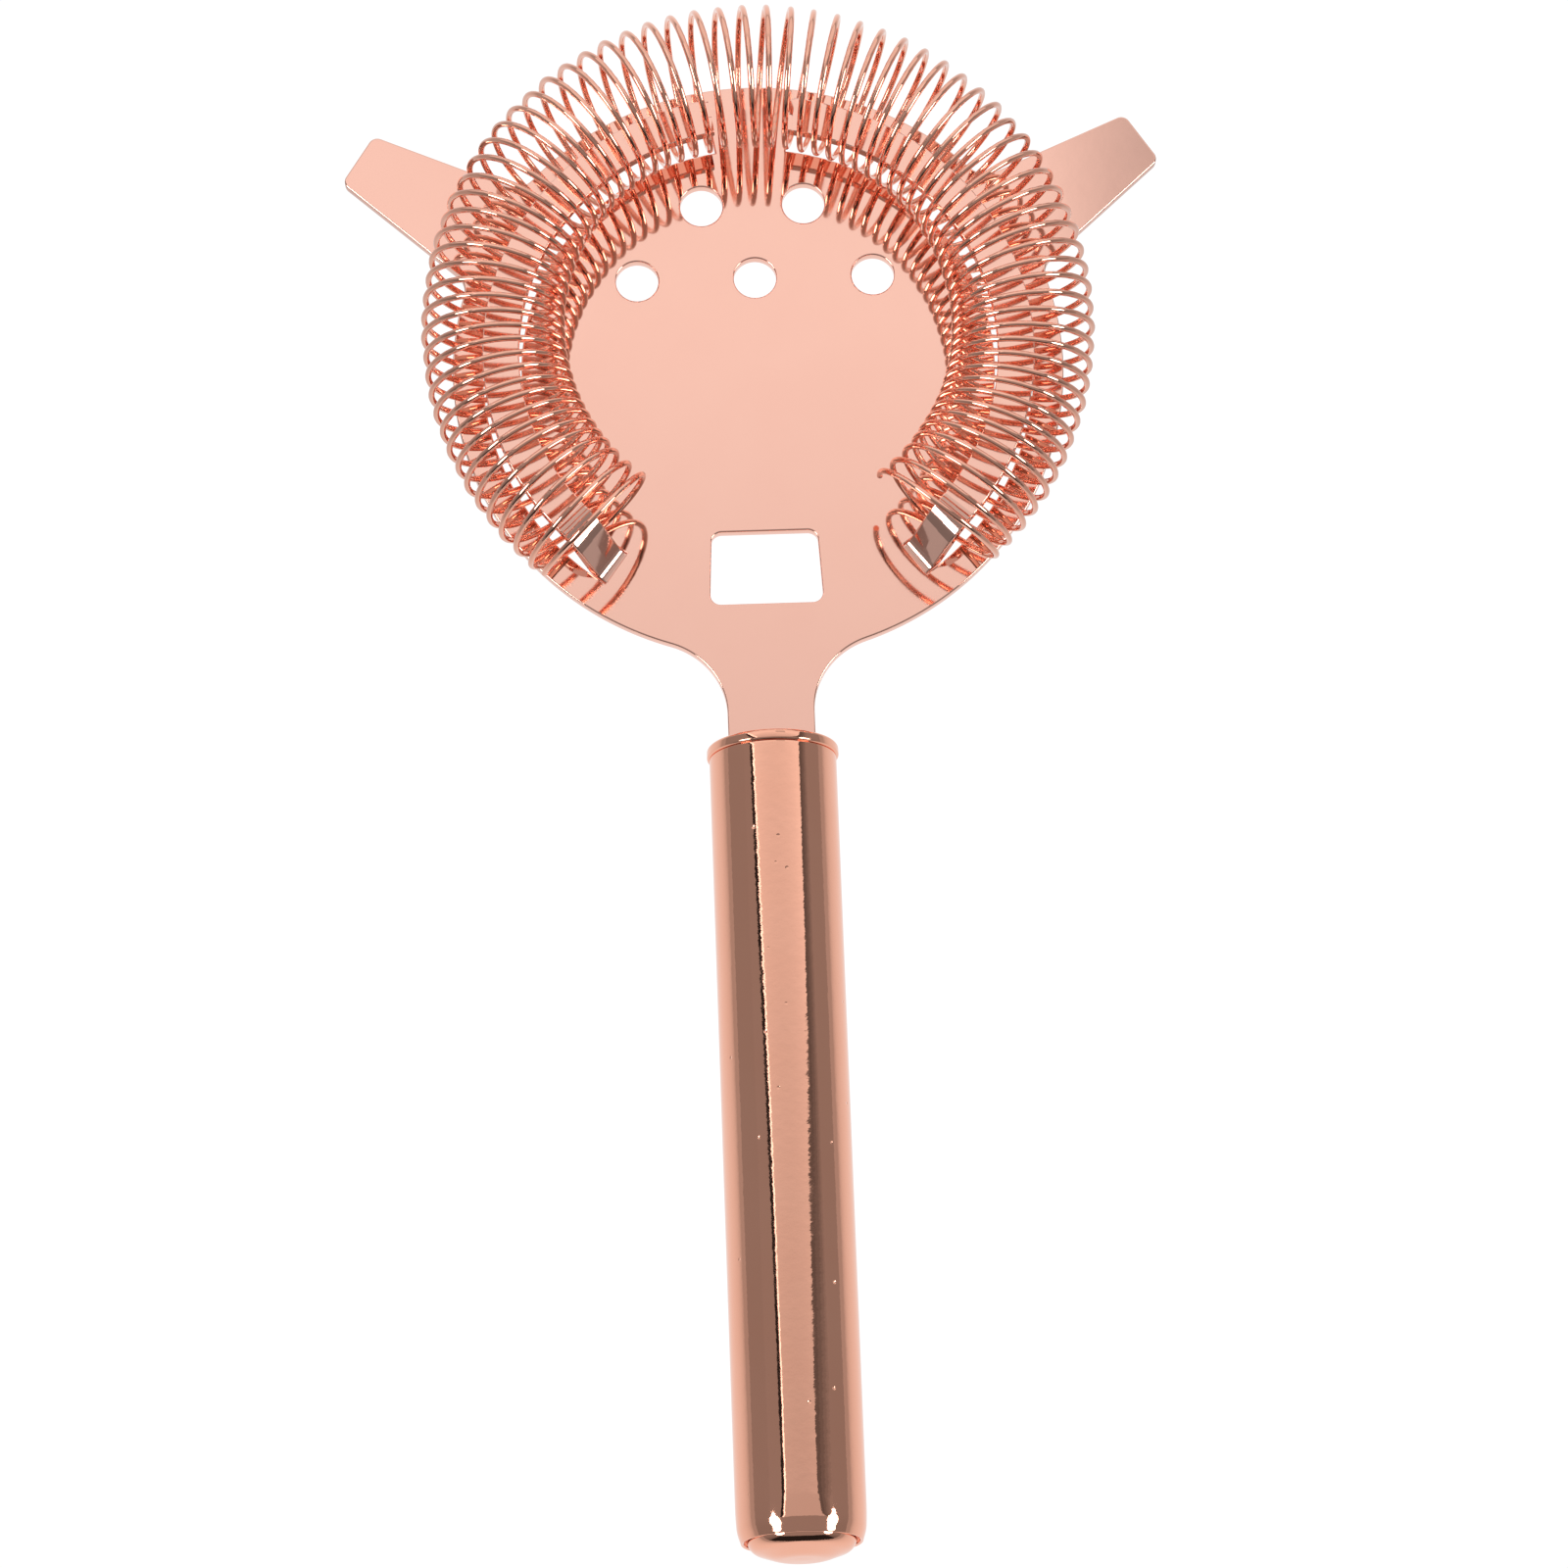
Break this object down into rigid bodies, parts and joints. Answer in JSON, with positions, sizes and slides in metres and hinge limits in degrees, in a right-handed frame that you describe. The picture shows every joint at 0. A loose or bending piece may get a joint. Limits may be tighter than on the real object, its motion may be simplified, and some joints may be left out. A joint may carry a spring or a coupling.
{
  "type": "hawthorne strainer",
  "caption": "Bar strainer: perforated round plate with two side ears, a coil spring ring on two raised tongues, and a straight tubular handle.",
  "frame": {"origin": "centre of the round plate on its flat back face", "axes": "+Z from the plate's back face towards the spring side; -Y along the handle; +X to one ear"},
  "size_m": [0.1052, 0.2004, 0.0278],
  "materials": {
    "plated_sheet": "copper plated, mirror polished",
    "plated_wire": "copper plated spring wire, bright",
    "plated_tube": "copper plated, polished with fine pits"
  },
  "bodies": {
    "strainer": {"strainer_plate": "plated_sheet", "handle_tube": "plated_tube", "front_cap": "plated_tube", "end_cap": "plated_tube"},
    "spring": {"coil_spring_1": "plated_wire", "coil_spring_2": "plated_wire", "coil_spring_3": "plated_wire", "coil_spring_4": "plated_wire"}
  },
  "joints": [
    {"name": "spring_press", "type": "slide", "parent": "strainer", "child": "spring", "axis": [0, -1, 0], "range_m": [0, 0.002], "stiffness_N_per_m": 400}
  ]
}
